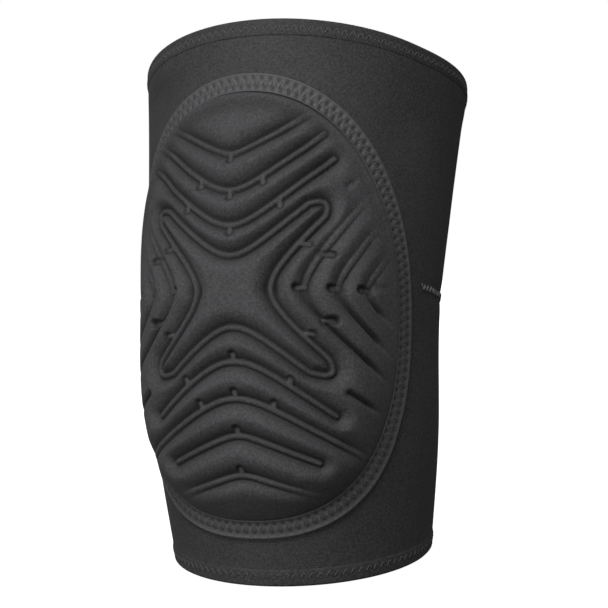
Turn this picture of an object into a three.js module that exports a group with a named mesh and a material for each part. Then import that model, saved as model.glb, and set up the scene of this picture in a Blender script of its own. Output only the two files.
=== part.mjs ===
import * as THREE from 'three';

// A knee sleeve for wrestling with a moulded oval pad on its front.
// Millimetres, Z up, the pad faces -Y, and the lower hem stands on the ground.

// The leg the sleeve is cut for, with lengths along the middle of the leg from the lower edge
const LENGTH = 204;
const BEND = THREE.MathUtils.degToRad(18);
const BEND_FROM = 61;
const BEND_TO = 143;
const DEPTH_TO_WIDTH = 1.05;
const GIRTH = [
  { at: 0, radius: 55.9 },
  { at: 51, radius: 61.4 },
  { at: 102, radius: 63.1 },
  { at: 153, radius: 66.8 },
  { at: 204, radius: 71.5 },
];

// Cloth thicknesses and the clearance kept between neighbouring pieces
const WALL = 2.5;
const TAPE = 1.2;
const GAP = 0.3;
const HEM_HEIGHT = 8;
const HEM_ROUND = 0.6;

// The pad laid flat: its middle, measured up the front from the lower edge, and its half sizes
const PAD_AT = 111.6;
const FRONT_RADIUS = 66;
const BINDING_HALF_WIDTH = 73;
const BINDING_HALF_HEIGHT = 91.6;
const BINDING_WIDTH = 8;
const BINDING_ROUND = 0.6;
const BINDING_GAP = 0.4;
const OVAL_POWER = 2.12;

// The pad's thickness: a low rim, a sloping shoulder, narrower at the lower end, and a crown.
// There is more foam toward the shin and less toward the thigh.
const RIM = 1.9;
const SHOULDER = 4.4;
const SHOULDER_POWER = 1.4;
const SIDE_SHARE = 0.32;
const LOWER_SHARE = 0.17;
const CROWN = 2.4;
const LOWER_FULLNESS = 0.85;
const UPPER_SLACK = 0.35;

// Flex grooves, measured from the middle of the relief
const RELIEF_AT = 5.3;
const GROOVE_DEPTH = 2.4;
const GROOVE_HALF_WIDTH = 4.8;
const GROOVE_FADE = 0.14;
const CHEVRONS = [
  { apex: 53.2, slope: 0.61, round: 4.5, reach: 31.5 },
  { apex: 38.5, slope: 0.88, round: 10, reach: 33 },
  { apex: 24.8, slope: 0.95, round: 10, reach: 36 },
  { apex: -26.6, slope: 0.95, round: 12, reach: 35 },
  { apex: -40.4, slope: 0.84, round: 12, reach: 46 },
  { apex: -54.2, slope: 0.62, round: 5, reach: 28 },
  { apex: -69.5, slope: 0.54, round: 4, reach: 28 },
];
const SIDE_CHEVRONS = [
  { apex: 26.3, round: 9, up: 39, upSlope: 0.83, down: 36, downSlope: 0.95 },
  { apex: 38.2, round: 7, up: 30, upSlope: 0.82, down: 22, downSlope: 1 },
  { apex: 49.2, round: 4, up: 18, upSlope: 0.84, down: 9, downSlope: 1.03 },
];
const PLATEAU_WAIST = 14.3;
const PLATEAU_ROUND = 9;
const PLATEAU = [
  { side: 1, notch: 13.3, notchSlope: 0.95, waistSlope: 0.96, armEnd: 27, tip: { u: 35.2, w: 34.6 } },
  { side: -1, notch: 13.8, notchSlope: 0.93, waistSlope: 1.02, armEnd: 26, tip: { u: 37.5, w: 34.4 } },
];
const DASHES = [
  { from: { u: 39.5, w: 42 }, to: { u: 45, w: 48.5 } },
  { from: { u: 38.5, w: -39.2 }, to: { u: 51, w: -53 } },
];

// How finely the pieces are faceted
const AROUND = 36;
const ALONG = 11;
const BINDING_STEPS = 60;
const PAD_COLUMNS = 54;
const PAD_ROWS = 63;
const BACK_STEP = 3;
const LINE_STEPS = 18;

const { clamp, lerp, smoothstep } = THREE.MathUtils;

const girthCurve = new THREE.CatmullRomCurve3(
  GIRTH.map(({ at, radius }) => new THREE.Vector3(at, radius, 0)), false, 'catmullrom', 0.5);

function legRadius(s) {
  return girthCurve.getPoint(clamp(s / LENGTH, 0, 1)).y;
}

// The middle of the leg at s: straight along the shin, an arc at the knee, straight along the thigh
function legMiddle(s) {
  const turnPerMm = BEND / (BEND_TO - BEND_FROM);
  const turned = turnPerMm * clamp(s - BEND_FROM, 0, BEND_TO - BEND_FROM);
  const beyond = Math.max(s - BEND_TO, 0);
  const y = (1 - Math.cos(turned)) / turnPerMm + beyond * Math.sin(BEND);
  const z = Math.min(s, BEND_FROM) + Math.sin(turned) / turnPerMm + beyond * Math.cos(BEND);
  return { y, z, turned };
}

// A point on the sleeve's outer face, lifted off it; angle 0 is the front of the knee
function onLeg(angle, s, lift) {
  const { y, z, turned } = legMiddle(s);
  const radius = legRadius(s);
  const forward = -Math.cos(angle) * (radius * DEPTH_TO_WIDTH + lift);
  return new THREE.Vector3(
    Math.sin(angle) * (radius + lift),
    y + forward * Math.cos(turned),
    z - forward * Math.sin(turned));
}

// A point of the flat pad laid on the bent front: u across, w up from the pad's middle
function onFront(u, w, lift) {
  const stretch = 1 + FRONT_RADIUS * BEND / (BEND_TO - BEND_FROM);
  const up = PAD_AT + w;
  const bent = clamp(up - BEND_FROM, 0, (BEND_TO - BEND_FROM) * stretch);
  const s = up - bent + bent / stretch;
  return onLeg(u / legRadius(s), s, lift);
}

// A closed ring skinned over loops of points that all run the same way
function ringSolid(loops) {
  const size = loops[0].length;
  const index = [];
  loops.forEach((loop, i) => {
    const here = i * size;
    const next = ((i + 1) % loops.length) * size;
    for (let j = 0; j < size; j++) {
      const k = (j + 1) % size;
      index.push(here + j, next + j, next + k, here + j, next + k, here + k);
    }
  });
  const geometry = new THREE.BufferGeometry().setFromPoints(loops.flat());
  geometry.setIndex(index);
  geometry.computeVertexNormals();
  return geometry;
}

// A ring around the leg whose cross-section is a list of places along the leg and lifts off the outer face
function legRing(section) {
  const loops = [];
  for (let i = 0; i < AROUND; i++) {
    const angle = 2 * Math.PI * i / AROUND;
    loops.push(section.map(({ s, lift }) => onLeg(angle, s, lift)));
  }
  return ringSolid(loops);
}

function sleeveSection() {
  const low = GAP + TAPE;
  const high = LENGTH - low;
  const outer = [];
  for (let i = 0; i <= ALONG; i++) {
    outer.push({ s: lerp(low, high, i / ALONG), lift: 0 });
  }
  const inner = outer.map(({ s }) => ({ s, lift: -WALL })).reverse();
  return [...outer, ...inner];
}

// A folded band over an edge of the sleeve: it runs up the outside, over the edge and down the inside.
// The edge lies at s = edge and the band reaches HEM_HEIGHT from it toward the middle of the leg.
function hemSection(edge, toward) {
  const outside = GAP + TAPE;
  const inside = -WALL - GAP - TAPE;
  const at = (depth, lift) => ({ s: edge + toward * depth, lift });
  const section = [
    at(HEM_HEIGHT, GAP),
    at(HEM_HEIGHT, outside),
    at(HEM_ROUND, outside),
    at(0, outside - HEM_ROUND),
    at(0, inside + HEM_ROUND),
    at(HEM_ROUND, inside),
    at(HEM_HEIGHT, inside),
    at(HEM_HEIGHT, -WALL - GAP),
    at(TAPE, -WALL - GAP),
    at(TAPE, GAP),
  ];
  return toward < 0 ? section : section.reverse();
}

// A point of an oval in direction t, inset from the outer edge of the binding
function ovalPoint(t, inset) {
  const c = Math.cos(t);
  const s = Math.sin(t);
  const reach = (Math.abs(c) ** OVAL_POWER + Math.abs(s) ** OVAL_POWER) ** (-1 / OVAL_POWER);
  return {
    u: (BINDING_HALF_WIDTH - inset) * reach * c,
    w: (BINDING_HALF_HEIGHT - inset) * reach * s,
  };
}

function bindingSolid() {
  const profile = [
    { inset: 0, lift: GAP },
    { inset: 0, lift: GAP + TAPE - BINDING_ROUND },
    { inset: BINDING_ROUND, lift: GAP + TAPE },
    { inset: BINDING_WIDTH - BINDING_ROUND, lift: GAP + TAPE },
    { inset: BINDING_WIDTH, lift: GAP + TAPE - BINDING_ROUND },
    { inset: BINDING_WIDTH, lift: GAP },
  ];
  const loops = [];
  for (let i = 0; i < BINDING_STEPS; i++) {
    const t = 2 * Math.PI * i / BINDING_STEPS;
    loops.push(profile.map(({ inset, lift }) => {
      const { u, w } = ovalPoint(t, inset);
      return onFront(u, w, lift);
    }));
  }
  return ringSolid(loops);
}

// An arm of a chevron: it leaves the apex in a round and then runs straight
function armRise(along, slope, round) {
  return slope * (Math.hypot(along, round) - round);
}

function samples(from, to) {
  return Array.from({ length: LINE_STEPS + 1 }, (_, i) => lerp(from, to, i / LINE_STEPS));
}

// The groove lines on the right half of the pad; the left half mirrors them
function grooveLines() {
  const lines = [];
  for (const row of CHEVRONS) {
    const side = Math.sign(row.apex);
    lines.push(samples(0, row.reach).map((u) =>
      new THREE.Vector2(u, row.apex + side * armRise(u, row.slope, row.round))));
  }
  for (const row of SIDE_CHEVRONS) {
    lines.push(samples(-row.down, row.up).map((w) =>
      new THREE.Vector2(row.apex + armRise(w, w > 0 ? row.upSlope : row.downSlope, row.round), w)));
  }
  for (const { side, notch, notchSlope, waistSlope, armEnd, tip } of PLATEAU) {
    const edge = samples(0, armEnd);
    const upper = edge.map((u) =>
      new THREE.Vector2(u, side * (notch + armRise(u, notchSlope, PLATEAU_ROUND))));
    const inner = edge.map((w) =>
      new THREE.Vector2(PLATEAU_WAIST + armRise(w, waistSlope, PLATEAU_ROUND), side * w));
    const corner = new THREE.Vector2(tip.u, side * tip.w);
    const round = new THREE.QuadraticBezierCurve(upper.at(-1), corner, inner.at(-1)).getPoints(6);
    lines.push([...upper, ...round.slice(1, -1), ...inner.reverse()]);
  }
  for (const { from, to } of DASHES) {
    lines.push([new THREE.Vector2(from.u, from.w), new THREE.Vector2(to.u, to.w)]);
  }
  return lines;
}

const grooves = grooveLines();

function grooveDistance(u, w) {
  const point = new THREE.Vector3(Math.abs(u), w - RELIEF_AT, 0);
  const nearest = new THREE.Vector3();
  const segment = new THREE.Line3();
  let best = Infinity;
  for (const line of grooves) {
    for (let i = 1; i < line.length; i++) {
      segment.start.set(line[i - 1].x, line[i - 1].y, 0);
      segment.end.set(line[i].x, line[i].y, 0);
      segment.closestPointToPoint(point, true, nearest);
      best = Math.min(best, nearest.distanceTo(point));
    }
  }
  return best;
}

// Height of the pad's face over the sleeve at a share of the way from the middle to the rim
function padLift(u, w, share) {
  const below = clamp(-w / BINDING_HALF_HEIGHT, 0, 1);
  const above = clamp(w / BINDING_HALF_HEIGHT, 0, 1);
  const toEdge = clamp((1 - share) / lerp(SIDE_SHARE, LOWER_SHARE, smoothstep(below, 0, 1)), 0, 1);
  const shoulder = SHOULDER * (1 - (1 - toEdge) ** SHOULDER_POWER);
  const crown = CROWN * (1 - share ** 2);
  const fullness = 1 + LOWER_FULLNESS * below - UPPER_SLACK * above;
  const flank = 1 - clamp(grooveDistance(u, w) / GROOVE_HALF_WIDTH, 0, 1);
  const groove = GROOVE_DEPTH * flank ** 2 * clamp((1 - share) / GROOVE_FADE, 0, 1);
  return GAP + RIM + (shoulder + crown) * fullness - groove;
}

// A square grid rounded into the pad's oval, as points on the leg
function padGrid(columns, rows, lift) {
  const inset = BINDING_WIDTH + BINDING_GAP;
  const points = [];
  for (let j = 0; j <= rows; j++) {
    for (let i = 0; i <= columns; i++) {
      const a = 2 * i / columns - 1;
      const b = 2 * j / rows - 1;
      const x = a * Math.sqrt(1 - b * b / 2);
      const y = b * Math.sqrt(1 - a * a / 2);
      const share = Math.hypot(x, y);
      const rim = ovalPoint(Math.atan2(y, x), inset);
      const u = rim.u * share;
      const w = rim.w * share;
      points.push(onFront(u, w, lift(u, w, share)));
    }
  }
  return points;
}

// The grid's border as point numbers, once round
function gridBorder(columns, rows) {
  const at = (i, j) => j * (columns + 1) + i;
  const border = [];
  for (let i = 0; i < columns; i++) {
    border.push(at(i, 0));
  }
  for (let j = 0; j < rows; j++) {
    border.push(at(columns, j));
  }
  for (let i = columns; i > 0; i--) {
    border.push(at(i, rows));
  }
  for (let j = rows; j > 0; j--) {
    border.push(at(0, j));
  }
  return border;
}

// Each cell is split along the diagonal that points away from the middle, the way the grooves run
function gridFaces(columns, rows, first, facingOut) {
  const index = [];
  for (let j = 0; j < rows; j++) {
    for (let i = 0; i < columns; i++) {
      const a = first + j * (columns + 1) + i;
      const b = a + 1;
      const c = a + columns + 1;
      const d = c + 1;
      const rising = (i + 0.5 - columns / 2) * (j + 0.5 - rows / 2) > 0;
      const faces = rising ? [a, b, d, a, d, c] : [a, b, c, b, d, c];
      index.push(...(facingOut ? faces : faces.reverse()));
    }
  }
  return index;
}

// The pad: a finely faceted face, a plain back three times as coarse, and a low rim wall that joins them
function padSolid() {
  const backColumns = PAD_COLUMNS / BACK_STEP;
  const backRows = PAD_ROWS / BACK_STEP;
  const face = padGrid(PAD_COLUMNS, PAD_ROWS, padLift);
  const back = padGrid(backColumns, backRows, () => GAP);
  const index = [
    ...gridFaces(PAD_COLUMNS, PAD_ROWS, 0, true),
    ...gridFaces(backColumns, backRows, face.length, false),
  ];
  const faceRim = gridBorder(PAD_COLUMNS, PAD_ROWS);
  const backRim = gridBorder(backColumns, backRows).map((n) => n + face.length);
  backRim.forEach((here, k) => {
    const next = backRim[(k + 1) % backRim.length];
    const [f0, f1, f2, f3] = [0, 1, 2, 3].map((n) => faceRim[(k * BACK_STEP + n) % faceRim.length]);
    index.push(here, f1, f0, here, f2, f1, here, next, f2, next, f3, f2);
  });
  const geometry = new THREE.BufferGeometry().setFromPoints([...face, ...back]);
  geometry.setIndex(index);
  geometry.computeVertexNormals();
  return geometry;
}

const sleeveKnit = new THREE.MeshStandardMaterial({ color: 0x2b2b2d, roughness: 0.85 });
sleeveKnit.name = 'sleeve_knit';
const padCover = new THREE.MeshStandardMaterial({ color: 0x343437, roughness: 0.75 });
padCover.name = 'pad_cover';
const edgeTape = new THREE.MeshStandardMaterial({ color: 0x3d3d40, roughness: 0.8 });
edgeTape.name = 'edge_tape';

const kneePad = new THREE.Group();
kneePad.name = 'wrestling_knee_pad';

const pieces = [
  { name: 'sleeve', geometry: legRing(sleeveSection()), material: sleeveKnit },
  { name: 'knee_pad', geometry: padSolid(), material: padCover },
  { name: 'pad_binding', geometry: bindingSolid(), material: edgeTape },
  { name: 'top_hem', geometry: legRing(hemSection(LENGTH, -1)), material: edgeTape },
  { name: 'bottom_hem', geometry: legRing(hemSection(0, 1)), material: edgeTape },
];
for (const { name, geometry, material } of pieces) {
  const mesh = new THREE.Mesh(geometry, material);
  mesh.name = name;
  kneePad.add(mesh);
}

// The origin lies under the middle of the whole part
const middle = new THREE.Box3().setFromObject(kneePad).getCenter(new THREE.Vector3());
for (const mesh of kneePad.children) {
  mesh.geometry.translate(-middle.x, -middle.y, 0);
}

export default kneePad;
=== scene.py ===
# %% [markdown]
# A wrestling knee pad is a bent sleeve of stretch cloth over thin foam, with a moulded foam pad on its
# front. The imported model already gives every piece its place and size. This lesson lays fine cloth,
# grooves and stitches over it, in the same frame, so no piece has to be moved into place.

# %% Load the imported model
import math

import bpy
import numpy as np
from mathutils import Matrix, Vector


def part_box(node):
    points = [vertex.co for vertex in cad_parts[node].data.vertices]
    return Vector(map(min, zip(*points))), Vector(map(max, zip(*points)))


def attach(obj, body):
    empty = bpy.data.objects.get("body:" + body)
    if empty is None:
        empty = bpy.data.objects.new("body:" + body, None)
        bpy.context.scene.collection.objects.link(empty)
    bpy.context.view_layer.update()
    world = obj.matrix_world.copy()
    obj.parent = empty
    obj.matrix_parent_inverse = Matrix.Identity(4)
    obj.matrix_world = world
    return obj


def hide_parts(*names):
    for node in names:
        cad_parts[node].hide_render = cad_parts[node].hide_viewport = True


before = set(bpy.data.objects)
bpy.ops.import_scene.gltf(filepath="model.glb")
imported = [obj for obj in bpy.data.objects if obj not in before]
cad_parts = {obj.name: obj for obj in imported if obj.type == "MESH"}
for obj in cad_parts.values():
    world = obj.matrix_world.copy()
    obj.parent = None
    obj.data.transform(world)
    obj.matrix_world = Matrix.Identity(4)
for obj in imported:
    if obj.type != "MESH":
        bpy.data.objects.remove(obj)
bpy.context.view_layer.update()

MM = 0.001
hem_low, hem_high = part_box("bottom_hem")
SHIN_Y = (hem_low.y + hem_high.y) / 2 / MM
print(f"middle of the shin at y = {SHIN_Y:.1f} mm")

# %% [markdown]
# The camera comes first, because it decides how fine each detail has to be. Its place was worked out from
# the outline in the photograph: about half a metre away, a little to the wearer's left and just above the
# floor. A camera can be aimed with a Track To constraint, but three written-out axes also hold the slight
# roll.

# %% Camera
IMAGE_PX = 608
FOCAL_PX = 1174
AIM_PX = (300.3, 315.1)
AIM_MM = Vector((0, SHIN_Y + 8.6, 102.2))
CAMERA_DISTANCE_MM = 520
CAMERA_AZIMUTH, CAMERA_ELEVATION, CAMERA_ROLL = (math.radians(a) for a in (19.66, 3.99, -2.58))


def direction(azimuth, elevation):
    """Unit vector from the knee pad toward a place round it; azimuth 0 is straight in front."""
    return Vector((math.sin(azimuth) * math.cos(elevation), -math.cos(azimuth) * math.cos(elevation),
                   math.sin(elevation)))


camera_data = bpy.data.cameras.new("photo_camera")
camera_data.lens = FOCAL_PX / IMAGE_PX * camera_data.sensor_width
camera_data.shift_x = (IMAGE_PX / 2 - AIM_PX[0]) / IMAGE_PX
camera_data.shift_y = (AIM_PX[1] - IMAGE_PX / 2) / IMAGE_PX
camera = bpy.data.objects.new("photo_camera", camera_data)
back = direction(CAMERA_AZIMUTH, CAMERA_ELEVATION)
right = Vector((math.cos(CAMERA_AZIMUTH), math.sin(CAMERA_AZIMUTH), 0))
right.rotate(Matrix.Rotation(CAMERA_ROLL, 3, back))
axes = Matrix((right, back.cross(right), back)).transposed()
camera.matrix_world = Matrix.Translation((AIM_MM + back * CAMERA_DISTANCE_MM) * MM) @ axes.to_4x4()
bpy.context.scene.collection.objects.link(camera)
bpy.context.scene.camera = camera
print(f"camera lens {camera_data.lens:.1f} mm")

# %% [markdown]
# A broad light high in front leaves a shadow under the upper side of every groove, and weaker ones at the
# left and the right keep the flanks from going black. The one behind only matters when the pad is turned
# round. Small lamps would draw hard edges, so all four are large area lights, far away.

# %% Softboxes
LIGHT_DISTANCE = 2.5
SOFTBOXES = (
    {"name": "top_softbox", "azimuth": 4, "elevation": 48, "size": (1.4, 0.8), "watts": 54},
    {"name": "left_softbox", "azimuth": -40, "elevation": 0, "size": (1.0, 1.0), "watts": 35},
    {"name": "right_softbox", "azimuth": 36, "elevation": 8, "size": (1.0, 1.0), "watts": 14},
    {"name": "back_softbox", "azimuth": 200, "elevation": 25, "size": (1.0, 1.0), "watts": 60},
)

for box in SOFTBOXES:
    lamp = bpy.data.lights.new(box["name"], "AREA")
    lamp.shape = "RECTANGLE"
    lamp.size, lamp.size_y = box["size"]
    lamp.energy = box["watts"]
    light = bpy.data.objects.new(box["name"], lamp)
    toward = direction(math.radians(box["azimuth"]), math.radians(box["elevation"]))
    light.location = AIM_MM * MM + toward * LIGHT_DISTANCE
    light.rotation_euler = toward.to_track_quat("Z", "Y").to_euler()
    bpy.context.scene.collection.objects.link(light)
    print(f"{box['name']}: {box['watts']} W at {LIGHT_DISTANCE} m")

# %% [markdown]
# The pad was shot on white. A plain white world would also light black cloth from all sides and wash it
# out. So the world is white where the camera sees it and dim where it lights the cloth, which the Light
# Path node tells apart. Colours are written as sRGB hex, and one function turns them into the linear
# light that shaders want.

# %% White world
AMBIENT = 0.08


def set_node(tree, node, settings=None, links=None):
    """Sets a node's properties and input values, and links other nodes' sockets into it."""
    for name, value in (settings or {}).items():
        if isinstance(name, int) or name in node.inputs:
            node.inputs[name].default_value = value
        else:
            setattr(node, name, value)
    for name, socket in (links or {}).items():
        tree.links.new(socket, node.inputs[name])
    return node


def add_node(tree, kind, settings=None, links=None):
    """Adds a node with its settings and links."""
    return set_node(tree, tree.nodes.new(kind), settings, links)


def linear(hex_colour):
    """Linear RGBA of an sRGB hex colour."""
    parts = [int(hex_colour[k:k + 2], 16) / 255 for k in (1, 3, 5)]
    return (*[v / 12.92 if v <= 0.04045 else ((v + 0.055) / 1.055)**2.4 for v in parts], 1)


world = bpy.data.worlds.new("white_studio")
world.use_nodes = True
world_tree = world.node_tree
world_tree.nodes.clear()
seen = add_node(world_tree, "ShaderNodeLightPath")
brightness = add_node(world_tree, "ShaderNodeMapRange", {"To Min": AMBIENT, "To Max": 1.0},
                      {"Value": seen.outputs["Is Camera Ray"]})
sky = add_node(world_tree, "ShaderNodeBackground", {"Color": linear("#ffffff")},
               {"Strength": brightness.outputs["Result"]})
add_node(world_tree, "ShaderNodeOutputWorld", links={"Surface": sky.outputs["Background"]})
bpy.context.scene.world = world
bpy.context.scene.view_settings.view_transform = "Standard"
print(f"world: white to the camera, {AMBIENT} as light")

# %% [markdown]
# The floor is the white paper of a studio, lit until no shadow is left on it. A shadow catcher would do
# the same, but a paper that glows needs no compositing.

# %% Paper floor
FLOOR_HALF = 4.0
FLOOR_DROP = 0.0005


def new_material(name):
    """A material with its node tree and its shader."""
    material = bpy.data.materials.new(name)
    material.use_nodes = True
    return material, material.node_tree, material.node_tree.nodes["Principled BSDF"]


floor_mesh = bpy.data.meshes.new("studio_floor")
floor_mesh.from_pydata([(x * FLOOR_HALF, y * FLOOR_HALF, -FLOOR_DROP)
                        for x, y in ((-1, -1), (1, -1), (1, 1), (-1, 1))], [], [(0, 1, 2, 3)])
floor = bpy.data.objects.new("studio_floor", floor_mesh)
floor.visible_diffuse = False
floor.visible_glossy = False
bpy.context.scene.collection.objects.link(floor)
# Matt white paper, overlit: an even white that doesn't throw light back up under the pad
paper, tree, shader = new_material("matt_white_paper")
set_node(tree, shader, {"Base Color": linear("#7c7c7c"), "Roughness": 0.9,
                        "Emission Color": linear("#ffffff"), "Emission Strength": 0.98})
floor_mesh.materials.append(paper)
print(f"floor: {2 * FLOOR_HALF:.0f} m of white paper")

# %% [markdown]
# Everything lies on one leg: straight along the shin, an arc at the knee, straight along the thigh. A
# curve object with a bevel could make such a tube, but a function from an angle and a height to a point
# also places pads, tapes and single stitches on it. All values are millimetres, as in the model.

# %% The leg
LENGTH = 204
BEND = math.radians(18)
BEND_FROM, BEND_TO = 61, 143
DEPTH_TO_WIDTH = 1.05
GIRTH_RADII = np.array([55.9, 61.4, 63.1, 66.8, 71.5])


def leg_radius(s):
    """Half width of the leg at s millimetres up, a Catmull-Rom curve through the girths."""
    stretches = len(GIRTH_RADII) - 1
    at = np.clip(np.asarray(s, float) / LENGTH, 0, 1) * stretches
    i = np.minimum(at.astype(int), stretches - 1)
    f = at - i
    ends = np.concatenate([[2 * GIRTH_RADII[0] - GIRTH_RADII[1]], GIRTH_RADII,
                           [2 * GIRTH_RADII[-1] - GIRTH_RADII[-2]]])
    a, b, c, d = ends[i], ends[i + 1], ends[i + 2], ends[i + 3]
    return 0.5 * (2 * b + (c - a) * f + (2 * a - 5 * b + 4 * c - d) * f**2 + (3 * b - a - 3 * c + d) * f**3)


def on_leg(angle, s, lift):
    """Points on the sleeve's outer face, lifted off it; angle 0 is the front of the knee."""
    turn_per_mm = BEND / (BEND_TO - BEND_FROM)
    turned = turn_per_mm * np.clip(s - BEND_FROM, 0, BEND_TO - BEND_FROM)
    beyond = np.maximum(s - BEND_TO, 0)
    y = (1 - np.cos(turned)) / turn_per_mm + beyond * math.sin(BEND)
    z = np.minimum(s, BEND_FROM) + np.sin(turned) / turn_per_mm + beyond * math.cos(BEND)
    radius = leg_radius(s)
    forward = -np.cos(angle) * (radius * DEPTH_TO_WIDTH + lift)
    across = np.sin(angle) * (radius + lift)
    return np.stack(np.broadcast_arrays(across, SHIN_Y + y + forward * np.cos(turned),
                                        z - forward * np.sin(turned)), axis=-1)


def girth(s):
    """Length once round the leg at a height."""
    return math.pi * float(leg_radius(s)) * (1 + DEPTH_TO_WIDTH)


for name, s in (("calf", 0), ("knee", LENGTH / 2), ("thigh", LENGTH)):
    print(f"{name}: about {girth(s):.0f} mm round")

# %% [markdown]
# The pad is cut and moulded flat, and bends round the knee when it is sewn on. The bend lengthens the
# front, so a flat place (u across, w up from the pad's middle) is carried over with that stretch. A
# Shrinkwrap modifier could lay a flat pad on the leg too, but it wouldn't keep the lengths along the
# cloth.

# %% The front of the knee, laid flat
PAD_AT = 111.6
FRONT_RADIUS = 66
FRONT_STRETCH = 1 + FRONT_RADIUS * BEND / (BEND_TO - BEND_FROM)


def on_front(u, w, lift):
    """Points of the flat pad laid on the bent front of the knee."""
    up = PAD_AT + w
    bent = np.clip(up - BEND_FROM, 0, (BEND_TO - BEND_FROM) * FRONT_STRETCH)
    s = up - bent + bent / FRONT_STRETCH
    return on_leg(u / leg_radius(s), s, lift)


def front_height(s):
    """The height w on the flat pad of a height s on the leg."""
    return s + np.clip(s - BEND_FROM, 0, BEND_TO - BEND_FROM) * (FRONT_STRETCH - 1) - PAD_AT


print(f"the bend lengthens the front by {100 * (FRONT_STRETCH - 1):.0f} %")

# %% [markdown]
# One helper skins a closed grid of points, such as a tube whose wall is a ring of its own, and writes a
# UV map in millimetres of cloth, so a knit can be drawn to scale. Blender's Skin or Solidify modifiers
# could do parts of this, but not the UV map.

# %% Helpers for pieces of cloth
def make_piece(name, points, faces, cloth):
    """A smooth mesh object: points in millimetres, lists of faces, a flat place for each face corner."""
    mesh = bpy.data.meshes.new(name)
    corners = [face for part in faces for face in part.tolist()]
    mesh.from_pydata((points.reshape(-1, 3) * MM).tolist(), [], corners)
    mesh.shade_smooth()
    mesh.uv_layers.new(name="cloth_mm").data.foreach_set("uv", cloth.astype(np.float32).ravel())
    piece = bpy.data.objects.new(name, mesh)
    bpy.context.scene.collection.objects.link(piece)
    return piece


def skin_grid(name, grid, along, across, close_along=True):
    """Skins a grid of points [i, j] that closes across. along and across give the flat place of each row
    and column, with one value more than there are points where that way closes."""
    rows, columns = grid.shape[:2]
    i, j = np.meshgrid(np.arange(rows if close_along else rows - 1), np.arange(columns), indexing="ij")
    i, j = i.ravel(), j.ravel()
    corners = ((i, j), (i, j + 1), (i + 1, j + 1), (i + 1, j))
    faces = np.stack([a % rows * columns + b % columns for a, b in corners], axis=1)
    cloth = np.stack([np.stack([along[a], across[b]], axis=1) for a, b in corners], axis=1)
    return make_piece(name, grid, [faces], cloth)


def run_lengths(points):
    """Length run along a line of points, from 0 at the first one."""
    return np.concatenate([[0], np.cumsum(np.linalg.norm(np.diff(points, axis=0), axis=1))])


def fit_piece(piece, material, node=None):
    """Gives a piece its material and its body, and hides the solid that it replaces."""
    piece.data.materials.append(material)
    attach(piece, "root")
    if node:
        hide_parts(node)


def mark_painted_shade(piece, amounts):
    """Stores on each point how much painted shade its material puts there, darkening hollows and creases.
    """
    layer = piece.data.attributes.new("painted_shade", "FLOAT", "POINT")
    layer.data.foreach_set("value", np.ravel(amounts))


print("helpers: make_piece, skin_grid, run_lengths, fit_piece, mark_painted_shade")

# %% [markdown]
# The cloth of the sleeve and of the pad is knitted: columns of loops whose two legs meet in a V. A Wave
# texture would give stripes but not the V, so the knit is drawn from plain Math nodes. Black dye is never
# quite even, and loose filaments stand up from the loops, so soft spots and fine fluff are mixed into the
# colour.

# %% Dyed knit
MOTTLE_MM, FLUFF_MM = 22, 0.9
MOTTLE_SHARE = 0.25
DYE_FROM, DYE_TO = 0.35, 0.9


def knit_height(tree, wale, course):
    """Height of a knit on the cloth_mm map: wale and course are one loop's width and height."""
    place = add_node(tree, "ShaderNodeUVMap", {"uv_map": "cloth_mm"})
    flat = add_node(tree, "ShaderNodeSeparateXYZ", links={0: place.outputs["UV"]})
    column = add_node(tree, "ShaderNodeMath", {"operation": "DIVIDE", 1: wale}, {0: flat.outputs["X"]})
    leg = add_node(tree, "ShaderNodeMath", {"operation": "PINGPONG", 1: 0.5}, {0: column.outputs[0]})
    row = add_node(tree, "ShaderNodeMath", {"operation": "DIVIDE", 1: course}, {0: flat.outputs["Y"]})
    slant = add_node(tree, "ShaderNodeMath", {"operation": "ADD"}, {0: row.outputs[0], 1: leg.outputs[0]})
    yarn = add_node(tree, "ShaderNodeMath", {"operation": "PINGPONG", 1: 0.5}, {0: slant.outputs[0]})
    gap = add_node(tree, "ShaderNodeMath", {"operation": "PINGPONG", 1: 0.25}, {0: leg.outputs[0]})
    return add_node(tree, "ShaderNodeMath", {"operation": "ADD"}, {0: yarn.outputs[0], 1: gap.outputs[0]})


def dyed_knit(tree, wale, course, dark, light, fluff_height):
    """Sockets with the colour and the height of a dyed knit; fluff_height is its fluff's share."""
    loops = knit_height(tree, wale, course)
    spot = add_node(tree, "ShaderNodeTexCoord")
    mottle, fluff = (add_node(tree, "ShaderNodeTexNoise", {"Scale": 1 / (size * MM), "Detail": detail},
                              {"Vector": spot.outputs["Object"]})
                     for size, detail in ((MOTTLE_MM, 4.0), (FLUFF_MM, 2.0)))
    uneven = add_node(tree, "ShaderNodeMath", {"operation": "MULTIPLY_ADD", 1: MOTTLE_SHARE},
                      {0: mottle.outputs["Fac"], 2: fluff.outputs["Fac"]})
    dye = add_node(tree, "ShaderNodeValToRGB", links={"Fac": uneven.outputs[0]})
    low, high = dye.color_ramp.elements
    low.position, low.color = DYE_FROM, linear(dark)
    high.position, high.color = DYE_TO, linear(light)
    nap = add_node(tree, "ShaderNodeMath", {"operation": "MULTIPLY_ADD", 1: fluff_height},
                   {0: fluff.outputs["Fac"], 2: loops.outputs[0]})
    return dye.outputs["Color"], nap.outputs[0]


print(f"dyed knit: soft spots of {MOTTLE_MM} mm and fluff of {FLUFF_MM} mm")

# %% [markdown]
# The sleeve is nylon jersey glued to neoprene foam. Textured nylon filaments scatter light, so the cloth
# is a dull charcoal with only a faint sheen toward its edges. A Velvet shader would glow too much there,
# so a rough Principled shader with a trace of sheen does it.

# %% Jersey of the sleeve
# Real jersey has loops of about 0.6 mm; they are drawn twice as coarse, so that they show in the render
JERSEY_WALE, JERSEY_COURSE = 1.2, 1.0
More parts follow.
